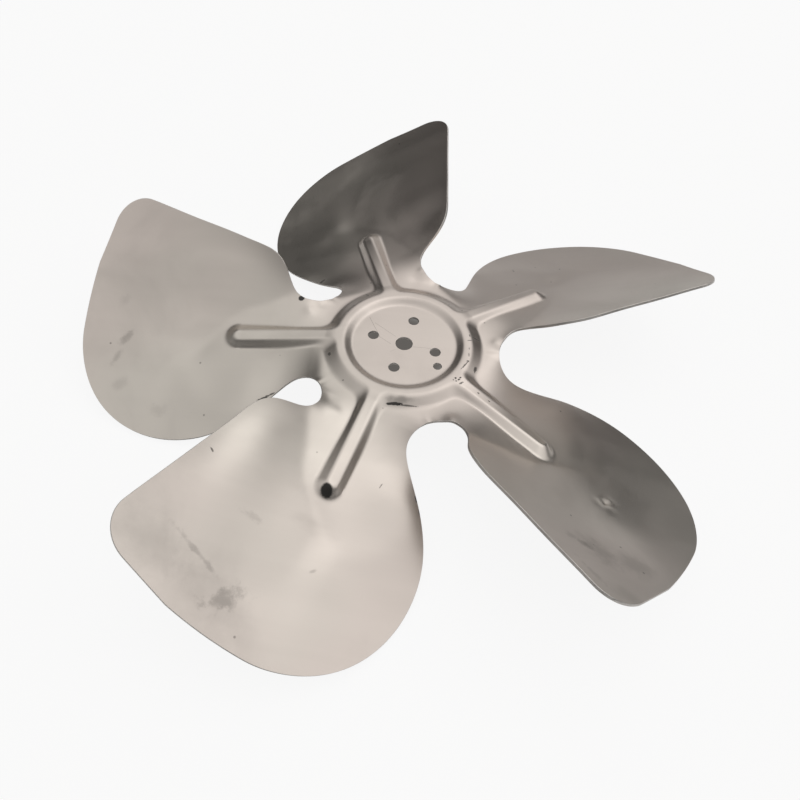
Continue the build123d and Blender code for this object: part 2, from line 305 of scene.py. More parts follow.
# ---------------------- form of the sheet
class PressedForm:
    """Heights and outline of the sheet in one blade's own frame, in millimetres.

    x runs outwards along the rib and y against the clock; the hub is shared by all blades.
    """

    def __init__(self, sizes):
        self.tip = sizes.tip_radius / MM
        self.disc = sizes.disc_radius / MM
        self.crest_start = self.disc + RING_INNER_WALL
        self.crest_end = self.crest_start + RING_CREST
        self.foot = self.crest_end + RING_OUTER_WALL
        self.web_edge = self.foot + WEB_STRIP
        self.ring_height = sizes.ring_height / MM
        self.web = -sizes.web_drop / MM
        self.rib_height = sizes.rib_height / MM
        self.rib_length = sizes.rib_length / MM
        self.crease_depth = sizes.crease_depth / MM
        along = self.web_edge * math.cos(HALF_STEP) + ROOT_HALF_WIDTH * math.sin(HALF_STEP)
        aside = self.web_edge * math.sin(HALF_STEP) - ROOT_HALF_WIDTH * math.cos(HALF_STEP)
        self.notch_distance = along + math.sqrt(NOTCH_RADIUS**2 - aside**2)
        half, raised, self.middles, pitch, low = np.array(BLADE_SECTIONS, float).T
        lean = -np.tan(np.radians(pitch)) * half
        bow = (raised + low) / 2 - self.middles
        twist = (low - raised) / 2 - lean
        self.controls = np.array([
            half, raised, raised + (lean - 2 * bow + 3 * twist) * 2 / 3,
            low - (lean + 2 * bow + 3 * twist) * 2 / 3, low]).T
        self.stations = np.arange(len(half)) * SECTION_STEP
        self.moments = curve_moments(self.stations, self.controls)
        crease = np.array(CREASE_LINE, float)
        self.crease = (crease[:, 0], crease[:, 1:], curve_moments(crease[:, 0], crease[:, 1:]))

    def blade(self, x, y):
        """The plain twisted and cambered blade, flat inside the web's edge."""
        beyond = x - self.web_edge
        beyond = np.where(beyond > 3, beyond, 1.2 * np.logaddexp(0, beyond / 1.2))
        half, a, b, c, d = np.moveaxis(
            curve_at(self.stations, self.controls, self.moments, beyond), -1, 0)
        t = (y + half) / (2 * half)
        s = 1 - t
        return self.web + a * s**3 + 3 * b * t * s**2 + 3 * c * t**2 * s + d * t**3

    def folds(self, x, y):
        """Soft bends that the press leaves where the flat tongue meets the twisted blade."""
        knots, step = self.crease[0], 0.5
        out = np.clip(x, knots[0], knots[-1])
        across = curve_at(*self.crease, out)[..., 0]
        ahead = curve_at(*self.crease, out + step)[..., 0]
        beyond = (across - y) / np.hypot(1, (ahead - across) / step)
        soft = CREASE_SOFT + CREASE_SOFTER * smooth_step(x, *CREASE_SOFTENS)
        reach = np.where(beyond > 0, CREASE_OUTER_REACH, CREASE_INNER_REACH)
        depth = smooth_step(x, *CREASE_STARTS) * (1 - smooth_step(x, *CREASE_ENDS))
        total = -self.crease_depth * depth * rounded_peak(beyond, soft, reach)
        ring = np.hypot(x - SHOULDER_CENTRE[0], y - SHOULDER_CENTRE[1]) - SHOULDER_RADIUS
        shoulder = rounded_peak(ring, SHOULDER_SOFT, SHOULDER_REACH)
        total += SHOULDER_RISE * shoulder * smooth_step(y, 0, 12) * smooth_step(x, 44, 60)
        line = y - np.interp(x, *np.array(HOLLOW_LINE).T)
        hollow = rounded_peak(line, HOLLOW_SOFT, HOLLOW_REACH)
        total += HOLLOW_RISE * hollow * smooth_step(x, 70, 82) * (1 - smooth_step(x, 98, 124))
        swells = sum(swell(x, y, *entry, SWELL_RADIUS) for entry in SWELLS)
        return total + swells * smooth_step(x, 32, 42)

    def rib(self, x, y):
        """Unclipped wall and crest plane of the rib."""
        start = self.web_edge - RIB_INSET
        end = self.web_edge + self.rib_length
        share = np.clip((x - start) / (end - start), 0, 1)
        lean = math.radians(RIB_LEAN) * share
        c, s = np.cos(lean), np.sin(lean)
        middle = self.web + np.interp(self.rib_length, self.stations, self.middles) * share
        side = y - RIB_MIDDLE
        spread = (RIB_FOOT - RIB_CREST) / self.rib_height
        past = np.maximum(x - end, 0)
        crest = middle + (self.rib_height - s * side) / c
        rise = crest - middle
        # the wall's foot is square to the leaning crest, so its height is found step by step
        for _ in range(8):
            away = np.sqrt(past**2 + (c * side - s * rise)**2 + 0.01)
            rise = (self.rib_height - (away - RIB_CREST) / spread - s * side) / c
        return middle + rise, crest

    def height(self, x, y, dimples=(), swells=()):
        """Height of the sheet's top skin."""
        r = np.hypot(x, y)
        # flat web on the line between two blades
        from_seam = HALF_STEP - np.abs(np.arctan2(y, np.maximum(x, 1.0)))
        fade = np.maximum(smooth_step(from_seam, 0.0, 0.07), smooth_step(r, 40, 44))
        floor = self.web + (self.blade(x, y) + self.folds(x, y) - self.web) * fade
        floor = floor + sum(swell(x, y, *entry) for entry in swells) * smooth_step(x, 34, 44)
        floor = floor + sum(swell(x, y, *entry) for entry in dimples)
        ring_fall = (self.ring_height - self.web) / RING_OUTER_WALL
        outer_wall = self.ring_height - (r - self.crest_end) * ring_fall
        rib_wall, rib_crest = self.rib(x, y)
        near_hub = 1 - smooth_step(x, 33, 46)
        walls = smooth_max(outer_wall, rib_wall, WALL_SOFT + HUB_SOFT * near_hub)
        crest = self.ring_height + (rib_crest - self.ring_height) * smooth_step(x, 25, 31)
        skin = smooth_max(smooth_min(walls, crest, CREST_SOFT), floor, FOOT_SOFT)
        inner_wall = (r - self.disc) * self.ring_height / RING_INNER_WALL
        inner = smooth_max(inner_wall, np.zeros_like(r), DISC_SOFT)
        return smooth_min(skin, inner, FOOT_SOFT)

    def outline(self):
        """Left, outer and right edge of a blade in plan, each from its inner or left end."""
        edge, reach = self.web_edge, self.tip - self.web_edge
        inset = self.notch_distance * math.cos(HALF_STEP) - edge
        rise = self.notch_distance * math.sin(HALF_STEP) - ROOT_HALF_WIDTH

        def placed(points):
            return [(edge + share * reach, across) for share, across in points]

        *near, shoulder, corner = (np.array(p) for p in placed(LEFT_EDGE + [TIP_CORNER]))
        into = corner - shoulder
        left = smooth_line([(edge, -ROOT_HALF_WIDTH), *near, shoulder], (rise, inset), into)
        into = into / np.hypot(*into)
        away = np.array(polar(self.tip, RIM_START)) - corner
        away = away / np.hypot(*away)
        turn = math.acos(float(np.dot(into, away)))
        first = corner - into * TIP_CORNER_RADIUS * math.tan(turn / 2)
        centre = first + TIP_CORNER_RADIUS * np.array((-into[1], into[0]))
        arc = centre + np.stack(turned_plan(*(first - centre), np.linspace(0, turn, 25)), 1)
        half = len(arc) // 2
        rim = np.array([polar(self.tip, a) for a in np.linspace(RIM_START, 0.0, 25)])
        lobe = smooth_line(
            [polar(self.tip, 0.0), *placed(LOBE_EDGE), (edge, ROOT_HALF_WIDTH)],
            (0, 1), (-rise, inset), 400)
        least, across = OUTER_EDGE_END
        split = int(np.argmin(np.abs(lobe[:, 1] - across) + 99 * (lobe[:, 0] < least)))
        return (np.concatenate([left, arc[:half + 1]]),
                np.concatenate([arc[half:], rim, lobe[1:split + 1]]),
                lobe[split:][::-1])


def along_line(line, shares):
    """Points of a polyline at shares of its length."""
    steps = np.concatenate([[0], np.cumsum(np.hypot(*np.diff(line, axis=0).T))])
    steps /= steps[-1]
    return np.stack([np.interp(shares, steps, side) for side in line.T], 1)


def row_spacing(spans):
    """Places from runs of (start, end, count)."""
    parts = [np.linspace(a, b, n, endpoint=False) for a, b, n in spans]
    return np.concatenate(parts + [[spans[-1][1]]])


# The mesh of a blade: columns beside the rib and over it, the band over the rib, rows outwards
# in millimetres, and the share of the way out where its edges start to bulge.
SIDE_COLUMNS, RIB_COLUMNS, RIB_BAND = 18, 26, (-7.4, 6.4)
BLADE_ROWS = [(0.0, 8.0, 12), (8.0, 42.0, 46), (42.0, 86.0, 36)]
BULGE_START = 0.45
NOTCH_COLUMNS = 3


def blade_grid(form):
    """Plan of one blade as rows of points, from the web's edge outwards."""
    left, outer, right = form.outline()
    edge = form.web_edge
    rows = row_spacing(BLADE_ROWS)
    shares = rows / rows[-1]
    left_x = edge + shares * (left[-1, 0] - edge)
    right_x = edge + shares * (right[-1, 0] - edge)
    left_y = np.interp(left_x, left[:, 0], left[:, 1])
    right_y = np.interp(right_x, right[:, 0], right[:, 1])
    columns = 2 * SIDE_COLUMNS + RIB_COLUMNS
    even = np.linspace(0, 1, columns + 1)
    chord = left[-1] + even[:, None] * (right[-1] - left[-1])
    bulge = along_line(outer, even) - chord
    grid = np.zeros((len(rows), columns + 1, 2))
    for i, share in enumerate(shares):
        a, b = left_y[i], right_y[i]
        held = row_spacing([(a, RIB_BAND[0], SIDE_COLUMNS), (*RIB_BAND, RIB_COLUMNS),
                            (RIB_BAND[1], b, SIDE_COLUMNS)])
        loose = a + (b - a) * even
        blend = smooth_step(left_x[i], 70, 96)
        y = held * (1 - blend) + loose * blend
        part = (y - a) / (b - a)
        grid[i, :, 0] = left_x[i] + part * (right_x[i] - left_x[i])
        grid[i, :, 1] = y
        grid[i] += bulge * max(0.0, (share - BULGE_START) / (1 - BULGE_START))**2
    return grid


def hub_grid(form, root):
    """Plan of one fifth of the ring and web, from the disc out to the blade's root."""
    root_angle = math.atan2(ROOT_HALF_WIDTH, form.web_edge)
    notch_angles = np.linspace(root_angle, HALF_STEP, NOTCH_COLUMNS + 1)[1:]
    across = form.notch_distance * np.sin(HALF_STEP - notch_angles)
    along = form.notch_distance * np.cos(HALF_STEP - notch_angles)
    floor = along - np.sqrt(NOTCH_RADIUS**2 - across**2)
    notch = np.stack([floor * np.cos(notch_angles), floor * np.sin(notch_angles)], 1)
    rim = np.concatenate([notch[::-1] * (1, -1), root, notch])
    angles = np.arctan2(rim[:, 1], rim[:, 0])
    rings = row_spacing([
        (form.disc - 1.1, form.crest_start, 8), (form.crest_start, form.crest_end, 5),
        (form.crest_end, form.foot - 0.4, 7)])
    circle = np.stack([np.cos(angles), np.sin(angles)], 1)
    grid = [circle * r for r in rings]
    for share in np.linspace(0, 1, 7)[1:]:
        grid.append(grid[len(rings) - 1] * (1 - share) + rim * share)
    return np.array(grid)


def add_grid(mesh, plan, heights, angle):
    """Quads of a grid, turned to its blade's place."""
    x, y = turned_plan(plan[..., 0], plan[..., 1], angle)
    rows, columns = x.shape
    points = [[mesh.verts.new((x[i, j] * MM, y[i, j] * MM, heights[i, j] * MM))
               for j in range(columns)] for i in range(rows)]
    for near, far in zip(points, points[1:]):
        for j in range(columns - 1):
            mesh.faces.new((near[j], far[j], far[j + 1], near[j + 1]))


def circle_points(centre, radius, count):
    """Points round a circle in plan."""
    return [Vector((centre[0] + radius * math.cos(a), centre[1] + radius * math.sin(a)))
            for a in np.linspace(0, 2 * math.pi, count, endpoint=False)]


# Angles of the first screw hole and of the single small hole, in degrees.
SCREW_HOLES, SCREW_TURN, INDEX_TURN = 4, 76.0, -36.5


def disc_holes(sizes):
    """Centre, radius and number of edge points of each hole in the disc, in millimetres."""
    holes = [((0.0, 0.0), sizes.bore / MM / 2, 64)]
    for k in range(SCREW_HOLES):
        place = polar(sizes.screw_circle / MM / 2, SCREW_TURN + 360 / SCREW_HOLES * k)
        holes.append((place, sizes.screw_hole / MM / 2, 48))
    holes.append((polar(sizes.index_radius / MM, INDEX_TURN), sizes.index_hole / MM / 2, 40))
    return holes


def add_disc(mesh, rim, sizes):
    """The flat disc with its holes, inside a rim of points in order."""
    holes = disc_holes(sizes)
    points = [Vector(p) for p in rim]
    loops = [list(range(len(points)))]
    for centre, radius, count in holes:
        first = len(points)
        points += circle_points(centre, radius, count)
        loops.append(list(range(first, first + count)))
    edges = [(loop[i], loop[(i + 1) % len(loop)]) for loop in loops for i in range(len(loop))]
    flat, _, faces, *_ = geometry.delaunay_2d_cdt(points, edges, [], 0, 1e-6)
    corners = [mesh.verts.new((p.x * MM, p.y * MM, 0.0)) for p in flat]
    for face in faces:
        middle = sum((flat[i] for i in face), Vector((0, 0))) / len(face)
        in_hole = any((middle - Vector(c)).length < r for c, r, _ in holes)
        if not in_hole and geometry.area_tri(*[flat[i].to_3d() for i in face]) > 1e-9:
            mesh.faces.new([corners[i] for i in face])


def turned(dimple, steps):
    """A dimple of another blade, seen from this blade's frame."""
    out, across, *rest = dimple
    return *turned_plan(out, across, steps * BLADE_STEP), *rest


def sheet_object(sizes):
    """The pressed sheet as one thin solid."""
    form = PressedForm(sizes)
    blade = blade_grid(form)
    hub = hub_grid(form, blade[0])
    mesh = bmesh.new()
    rim = []
    for index in range(BLADE_COUNT):
        angle = FIRST_BLADE + index * BLADE_STEP
        dimples = [turned(d, step) for step in (-1, 0, 1)
                   for d in NOTCH_DIMPLES[(index + step) % BLADE_COUNT]]
        dimples += KNOCKS.get(index, [])
        radius, own = OWN_SWELLS.get(index, (0, []))
        swells = [(*entry, radius) for entry in own]
        for grid in (hub, blade):
            x, y = grid[..., 0], grid[..., 1]
            add_grid(mesh, grid, form.height(x, y, dimples, swells), angle)
        rim += [turned_plan(x, y, angle) for x, y in hub[0, :-1]]
    add_disc(mesh, rim, sizes)
    bmesh.ops.remove_doubles(mesh, verts=mesh.verts, dist=2e-6)
    bmesh.ops.recalc_face_normals(mesh, faces=mesh.faces)
    if sum(f.normal.z for f in mesh.faces) < 0:
        bmesh.ops.reverse_faces(mesh, faces=mesh.faces)
    piece = new_object("pressed_sheet", mesh)
    thick = piece.modifiers.new("sheet", "SOLIDIFY")
    thick.thickness = sizes.sheet
    thick.offset = -1.0
    thick.use_even_offset = True
    thick.material_offset_rim = 1
    worn = piece.modifiers.new("edge_break", "BEVEL")
    worn.width = sizes.edge_break
    worn.segments = 1
    worn.limit_method = "ANGLE"
    worn.angle_limit = math.radians(60)
    return piece


def new_object(name, data):
    """An object of the scene, from its data or from a finished bmesh."""
    if isinstance(data, bmesh.types.BMesh):
        mesh, data = data, bpy.data.meshes.new(name)
        mesh.to_mesh(data)
        mesh.free()
    item = bpy.data.objects.new(name, data)
    bpy.context.scene.collection.objects.link(item)
    return item


def freeze(piece, sharp):
    """Applies the modifiers and marks edges sharper than an angle in degrees."""
    graph = bpy.context.evaluated_depsgraph_get()
    data = bpy.data.meshes.new_from_object(piece.evaluated_get(graph))
    piece.modifiers.clear()
    piece.data = data
    mesh = bmesh.new()
    mesh.from_mesh(data)
    for face in mesh.faces:
        face.smooth = True
    for edge in mesh.edges:
        edge.smooth = edge.calc_face_angle(0.0) < math.radians(sharp)
    mesh.to_mesh(data)
    mesh.free()


# ---------------------- materials
# The factor that leaves out a point's height, so that only its place in plan counts.
IN_PLAN = (1.0, 1.0, 0.0)


class Graph:
    """Short way to add and link nodes of one tree."""

    def __init__(self, tree):
        self.tree = tree

    def add(self, kind, **values):
        """A node; in0, in1 and capitalised names set or link inputs, others are properties."""
        node = self.tree.nodes.new(kind)
        for key, value in values.items():
            if key.startswith("in") and key[2:].isdigit():
                self.feed(node.inputs[int(key[2:])], value)
            elif key[0].isupper():
                self.feed(node.inputs[key], value)
            else:
                setattr(node, key, value)
        return node

    def feed(self, slot, value):
        """Sets or links one input."""
        if isinstance(value, bpy.types.NodeSocket):
            self.tree.links.new(value, slot)
        elif slot.type == "RGBA" and len(value) == 3:
            slot.default_value = (*value, 1.0)
        else:
            slot.default_value = value

    def math(self, operation, a, b=0.0, c=0.0, clamp=False):
        """One mathematics node."""
        node = self.add("ShaderNodeMath", operation=operation, use_clamp=clamp, in0=a, in1=b,
                        in2=c)
        return node.outputs[0]

    def times(self, a, b):
        """The product of two values."""
        return self.math("MULTIPLY", a, b)

    def vector(self, operation, a, b=(0.0, 0.0, 0.0), scale=1.0):
        """One vector mathematics node: its vector, or its number where it gives one."""
        node = self.add("ShaderNodeVectorMath", operation=operation, in0=a, in1=b, in3=scale)
        return node.outputs[int(operation in ("DOT_PRODUCT", "LENGTH", "DISTANCE"))]

    def noise(self, place, scale, detail, roughness=0.5, distortion=0.0):
        """The grey value of one noise texture."""
        return self.add("ShaderNodeTexNoise", Vector=place, Scale=scale, Detail=detail,
                        Roughness=roughness, Distortion=distortion).outputs[0]

    def coordinate(self, name):
        """One of the texture coordinates."""
        return self.add("ShaderNodeTexCoord").outputs[name]

    def mix(self, factor, a, b):
        """One colour mix."""
        node = self.add("ShaderNodeMix", data_type="RGBA", in0=factor, in6=a, in7=b)
        return node.outputs[2]

    def ramp(self, value, low, high, start=0.0, end=1.0):
        """A value carried smoothly from one range to another."""
        return self.add("ShaderNodeMapRange", interpolation_type="SMOOTHSTEP", in0=value,
                        in1=low, in2=high, in3=start, in4=end).outputs[0]

    def total(self, parts):
        """Masks added together, to 1 at most."""
        whole = parts[0]
        for part in parts[1:]:
            whole = self.math("ADD", whole, part, clamp=True)
        return whole

    def placed(self, group, **values):
        """A group node with its inputs set by name."""
        return self.add("ShaderNodeGroup", node_tree=group, **values)


def new_group(name, inputs, outputs):
    """A shader node group, its graph, and its sockets to read from and to write to.

    An input is a number with a default value, or a vector where that is None.
    """
    group = bpy.data.node_groups.new(name, "ShaderNodeTree")
    for label, value in inputs.items():
        kind = "NodeSocketVector" if value is None else "NodeSocketFloat"
        socket = group.interface.new_socket(label, in_out="INPUT", socket_type=kind)
        if value is not None:
            socket.default_value = value
    for label in outputs:
        group.interface.new_socket(label, in_out="OUTPUT", socket_type="NodeSocketFloat")
    given = group.nodes.new("NodeGroupInput").outputs
    results = group.nodes.new("NodeGroupOutput").inputs
    return group, Graph(group), given[:len(inputs)], results[:len(outputs)]


def rolled_grain_group():
    """Fine lines that the rolling mill leaves along the sheet."""
    group, g, (where, spacing), results = new_group(
        "rolled_grain", {"Position": None, "Spacing": 900.0}, ["Grain", "Bands"])
    stretched = g.vector("MULTIPLY", where, (0.035, 1.0, 0.035))
    g.feed(results[0], g.noise(stretched, spacing, 3.0, 0.65))
    g.feed(results[1], g.noise(stretched, 70.0, 4.0, 0.6))
    return group


def handling_group():
    """Cloudy smudges and thin films from handling."""
    group, g, (where, size), results = new_group(
        "handling", {"Position": None, "Size": 22.0}, ["Film", "Tint", "Speckle"])
    g.feed(results[0], g.ramp(g.noise(where, size, 5.0, 0.62, 0.6), 0.44, 0.66))
    shifted = g.vector("ADD", where, (0.37, 0.21, 0.11))
    g.feed(results[1], g.noise(shifted, 9.0, 2.0))
    dots = g.add("ShaderNodeTexVoronoi", Vector=where, Scale=190.0, Randomness=1.0)
    pick = g.add("ShaderNodeSeparateColor", in0=dots.outputs["Color"]).outputs[0]
    dot = g.ramp(dots.outputs["Distance"], 0.10, 0.05)
    g.feed(results[2], g.times(dot, g.math("GREATER_THAN", pick, 0.93)))
    return group


def mark_group():
    """One ragged mark at a place on the sheet, seen from above."""
    group, g, (where, place, stretch, turn, ragged, scale, inner), results = new_group(
        "mark",
        {"Position": None, "Place": None, "Stretch": None, "Turn": 0.0, "Ragged": 0.3,
         "Scale": 900.0, "Inner": 0.75}, ["Mask"])
    offset = g.vector("SUBTRACT", where, place)
    lined = g.add("ShaderNodeVectorRotate", rotation_type="Z_AXIS", in0=offset, Angle=turn)
    scaled = g.vector("DIVIDE", lined.outputs[0], stretch)
    away = g.vector("LENGTH", g.vector("MULTIPLY", scaled, IN_PLAN))
    push = g.times(g.math("SUBTRACT", g.noise(where, scale, 4.0, 0.7), 0.5),
                   g.times(ragged, 4.0))
    g.feed(results[0], g.ramp(g.math("ADD", away, push), 1.15, inner))
    return group


def scratch_group():
    """One thin, slightly wandering scratch between two places on the sheet."""
    group, g, (where, first, last, width, wander), results = new_group(
        "scratch",
        {"Position": None, "From": None, "To": None, "Width": 0.0001, "Wander": 0.001},
        ["Mask"])
    noise = g.add("ShaderNodeTexNoise", Vector=where, Scale=60.0, Detail=1.0)
    centred = g.vector("SUBTRACT", noise.outputs["Color"], (0.5, 0.5, 0.5))
    moved = g.vector("ADD", where, g.vector("SCALE", centred, scale=wander))
    run = g.vector("SUBTRACT", last, first)
    here = g.vector("SUBTRACT", g.vector("MULTIPLY", moved, IN_PLAN), first)
    share = g.math("DIVIDE", g.vector("DOT_PRODUCT", here, run),
                   g.vector("DOT_PRODUCT", run, run), clamp=True)
    gap = g.vector("SUBTRACT", here, g.vector("SCALE", run, scale=share))
    g.feed(results[0], g.ramp(g.math("DIVIDE", g.vector("LENGTH", gap), width), 1.0, 0.35))
    return group


# Marks on the top face, in millimetres in the rotor's frame: place x, y, half sizes along and
# across, turn in degrees, raggedness, strength. The near-black ones are greasy specks from the
# press, and painted shade in a black line at the foot of the ring's outer wall between the
# second and third blades; the first of them is a near-black spot at the end of the second
# blade's rib.
GREASE_AND_SHADE_MARKS = [
    (-21.8, -64.6, 2.2, 2.2, 0, 0.10, 1.0), (-42.4, 17.0, 1.3, 1.0, 20, 0.20, 0.95),
    (-1.6, -29.2, 3.0, 0.55, 2, 0.30, 0.95), (3.2, -29.4, 3.6, 0.30, 2, 0.40, 0.7),
    (27.9, 5.0, 1.6, 0.25, 0, 0.10, 0.7), (27.9, -9.7, 0.6, 1.5, -12, 0.50, 0.8),
    (20.2, -16.3, 0.45, 0.35, 40, 0.60, 0.9), (21.3, -16.9, 0.60, 0.40, 40, 0.60, 0.95),
    (20.5, -17.6, 0.35, 0.30, 40, 0.60, 0.9), (22.0, -15.8, 0.40, 0.25, 40, 0.60, 0.9),
    (19.4, -17.2, 0.30, 0.25, 40, 0.60, 0.8), (22.3, -18.2, 0.9, 0.35, 40, 0.70, 0.6),
    (25.3, 5.6, 0.25, 0.7, 8, 0.60, 0.7), (25.4, 3.0, 1.0, 0.20, 8, 0.40, 0.75),
    (25.2, -1.2, 0.20, 0.5, 0, 0.80, 0.5), (25.1, -4.3, 0.20, 0.9, 0, 0.80, 0.5),
    (24.7, -7.4, 0.5, 0.4, 0, 0.60, 0.7), (23.6, -9.6, 2.4, 0.30, 56, 0.80, 0.7),
    (-28.1, -8.5, 0.55, 1.0, 20, 0.40, 0.85), (-21.4, -20.4, 0.35, 0.3, 0, 0.20, 0.5),
    (22.2, 19.6, 0.35, 0.3, 0, 0.20, 0.6), (16.8, 21.9, 0.3, 0.25, 0, 0.20, 0.6),
    (21.7, 0.9, 0.3, 0.25, 0, 0.20, 0.7), (28.9, -21.4, 0.5, 0.3, -36, 0.35, 0.7),
    (33.0, -24.2, 0.4, 0.3, -36, 0.30, 0.8), (-16.6, 24.4, 1.3, 0.3, 130, 0.40, 0.7),
    (-51.8, -23.5, 2.6, 0.45, 25, 0.85, 0.8), (-48.6, -21.9, 1.2, 0.30, 25, 0.60, 0.6),
    (-38.0, 41.6, 1.8, 0.5, 40, 0.85, 0.85), (-57.8, -63.5, 1.0, 0.30, -50, 0.70, 0.6),
    (9.0, -60.3, 0.35, 1.2, 14, 0.60, 0.85), (10.5, -64.2, 0.30, 1.1, 14, 0.60, 0.8),
    (-3.8, -58.6, 1.0, 0.20, 60, 0.80, 0.5),
]
# Soft smudges of handling film, with painted shade among them: darker over the ring's outer wall
# between the second and third blades and along the third blade's rib. Same columns.
SMUDGES_AND_SHADE = [
    (-110.1, -1.5, 5.0, 1.7, 50, 0.60, 0.34), (-112.2, -8.7, 3.6, 1.4, 60, 0.60, 0.26),
    (-109.4, -18.8, 4.0, 2.6, 30, 0.40, 0.16), (-112.8, 11.9, 3.4, 2.4, 40, 0.50, 0.12),
    (-92.9, -27.8, 4.0, 3.0, 0, 0.60, 0.14), (-46.6, -105.4, 7.5, 3.0, 35, 0.85, 0.34),
    (-56.5, -94.5, 10.0, 1.0, -38, 0.70, 0.26), (-68.3, -95.0, 13.0, 9.0, -40, 0.30, 0.16),
    (-50.0, -106.0, 15.0, 8.0, -35, 0.30, 0.12), (-43.4, -79.5, 4.0, 1.6, -20, 0.90, 0.18),
    (-23.1, -91.0, 1.6, 0.5, 30, 0.60, 0.28), (0.8, -27.6, 6.0, 1.7, 2, 0.35, 0.55),
    (-26.1, 8.3, 1.5, 1.6, -10, 0.35, 0.50), (31.6, -20.8, 6.0, 0.9, -36, 0.40, 0.60),
    (43.0, -40.4, 3.2, 1.2, -36, 0.40, 0.45), (59.0, -83.4, 6.5, 1.4, -30, 0.60, 0.30),
    (64.5, -85.0, 8.5, 4.5, -45, 0.40, 0.30), (76.6, -87.0, 8.0, 6.0, -10, 0.30, 0.28),
    (59.2, -95.0, 6.0, 1.0, -50, 0.80, 0.20), (70.0, -101.0, 8.0, 3.0, -30, 0.35, 0.16),
]
# Scratches: from x, y to x, y, width, strength, which is negative for a bright one.
SCRATCHES = [
    (-14.4, 12.2, -9.6, 2.6, 0.10, 0.9), (-9.8, 2.6, -5.2, -0.6, 0.10, 0.8),
    (-12.0, 9.4, -3.6, 3.4, 0.09, 0.8), (3.4, -1.3, 10.4, -1.5, 0.10, 0.7),
    (-5.0, -4.6, -2.8, -3.2, 0.08, 0.6), (0.2, -6.1, 3.2, -7.1, 0.12, -0.6),
    (11.4, -9.4, 12.6, -8.6, 0.12, -0.5),
]
# Factors of the metal's colour: where it is warmer and cooler, under each layer, and on the
# sheared edge.
WARM, COOL = (1.01, 0.985, 0.985), (0.985, 1.0, 0.985)
# the tone under the smudges is also the tone of their painted shade
FILM_TONE, BAND_TONE, SMUDGE_AND_SHADE_TONE, SCRATCH_TONE, EDGE_TONE = 0.72, 0.6, 0.42, 0.35, 0.55
BUMP_DEPTH = 0.00004  # metres


def new_material(name):
    """A material with its graph, a Principled shader and its output."""
    material = bpy.data.materials.new(name)
    material.use_nodes = True
    material.node_tree.nodes.clear()
    g = Graph(material.node_tree)
    shader = g.add("ShaderNodeBsdfPrincipled")
    output = g.add("ShaderNodeOutputMaterial", Surface=shader.outputs[0])
    return material, g, shader, output


def toned(colour_value, factor):
    """A colour times one factor."""
    return tuple(factor * v for v in colour_value)


def add_bump(g, shader, height, strength):
    """Relief that is too fine for the mesh."""
    bump = g.add("ShaderNodeBump", Height=height, Strength=strength, Distance=BUMP_DEPTH)
    g.feed(shader.inputs["Normal"], bump.outputs[0])


def sheet_material(finish, groups):
    """Mill-finish aluminium: rolling lines, handling films, scratches, greasy specks, painted
    shade.
    """
    material, g, shader, _ = new_material("mill_aluminium")
    where = g.coordinate("Object")
    facing = g.add("ShaderNodeSeparateXYZ", in0=g.coordinate("Normal"))
    top = g.ramp(facing.outputs[2], 0.0, 0.25)
    grain = g.placed(groups["grain"], Position=where).outputs
    film = g.placed(groups["handling"], Position=where).outputs

    def marks(table, scale, inner):
        found = []
        for x, y, along, across, turn, ragged, strength in table:
            node = g.placed(groups["mark"], Position=where, Place=(x * MM, y * MM, 0.0),
                            Stretch=(along * MM, across * MM, 1.0), Turn=-math.radians(turn),
                            Ragged=ragged, Scale=scale, Inner=inner)
            found.append(g.times(node.outputs[0], strength))
        return g.times(g.total(found), top)

    def scratches(sign):
        found = []
        for x0, y0, x1, y1, width, strength in SCRATCHES:
            if sign * strength > 0:
                node = g.placed(groups["scratch"], Position=where, From=(x0 * MM, y0 * MM, 0.0),
                                To=(x1 * MM, y1 * MM, 0.0), Width=width * MM)
                found.append(g.times(node.outputs[0], abs(strength)))
        return g.times(g.total(found), top)

    # near-black greasy specks and darker smudges; both also paint shade on the ring's outer wall
    # between the second and third blades, and the smudges along the third blade's rib
    grease_and_shade = marks(GREASE_AND_SHADE_MARKS, 900.0, 0.75)
    smudge_and_shade = marks(SMUDGES_AND_SHADE, 260.0, 0.1)
    dark, bright = scratches(1), scratches(-1)

    metal, grime_and_shade = tuple(finish.metal), tuple(finish.grime_and_shade)
    warm, cool = (tuple(min(v * f, 1.0) for v, f in zip(metal, pair)) for pair in (WARM, COOL))
    base = g.mix(g.ramp(film["Tint"], 0.38, 0.62), cool, warm)
    for share, tone in (
            (g.times(film["Film"], 0.10), toned(metal, FILM_TONE)),
            (g.ramp(grain["Bands"], 0.35, 0.7, 0.0, 0.06), toned(metal, BAND_TONE)),
            (smudge_and_shade, toned(metal, SMUDGE_AND_SHADE_TONE)),
            (g.times(dark, 0.75), toned(metal, SCRATCH_TONE)),
            (g.times(film["Speckle"], 0.45), grime_and_shade),
            (grease_and_shade, grime_and_shade)):
        base = g.mix(share, base, tone)
    g.feed(shader.inputs["Base Color"], base)

    rough = g.math("MULTIPLY_ADD", grain["Bands"], 0.10, finish.roughness - 0.05)
    for mask, more in ((film["Film"], 0.07), (smudge_and_shade, 0.25), (grease_and_shade, 0.25)):
        rough = g.math("ADD", rough, g.times(mask, more))
    rough = g.math("SUBTRACT", rough, g.times(bright, 0.15), clamp=True)
    g.feed(shader.inputs["Roughness"], rough)
    g.feed(shader.inputs["Metallic"], g.math("SUBTRACT", 1.0, g.times(grease_and_shade, 0.9)))

    relief = g.math("ADD", g.times(grain["Grain"], 0.6),
                    g.times(g.noise(where, 1400.0, 2.0), 0.4))
    relief = g.math("SUBTRACT", relief, g.times(g.math("ADD", dark, bright), 1.5))
    add_bump(g, shader, relief, 0.16)
    return material


